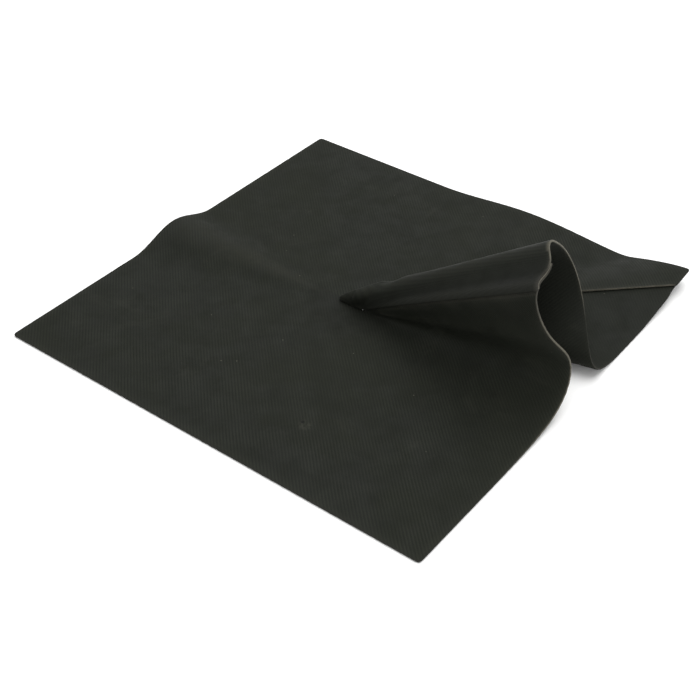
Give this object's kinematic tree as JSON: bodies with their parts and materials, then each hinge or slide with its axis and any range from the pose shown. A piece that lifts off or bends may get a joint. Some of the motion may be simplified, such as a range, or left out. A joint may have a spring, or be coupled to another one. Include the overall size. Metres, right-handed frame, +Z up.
{
  "type": "membrane outside corner flashing",
  "caption": "Square rubber membrane sheet slit from its middle, with a bonded-in gusset that stands up as a hollow conical pleat open at the sheet's edge.",
  "frame": {"origin": "middle of the square sheet, where the slit starts, in the plane of its underside", "axes": "+X from the middle towards the side where the pleat opens, +Y towards the side next to the rear lap, +Z up from the flat sheet"},
  "size_m": [0.3, 0.3008, 0.1005],
  "materials": {
    "rubber_sheet": "matt black vulcanised sheet with a fine cloth imprint",
    "seam_gum": "matt black cured seam gum"
  },
  "bodies": {
    "root": {"base_sheet": "rubber_sheet", "corner_gusset": "rubber_sheet", "front_lap_bond": "seam_gum", "rear_lap_bond": "seam_gum", "tip_bond": "seam_gum"}
  },
  "joints": []
}
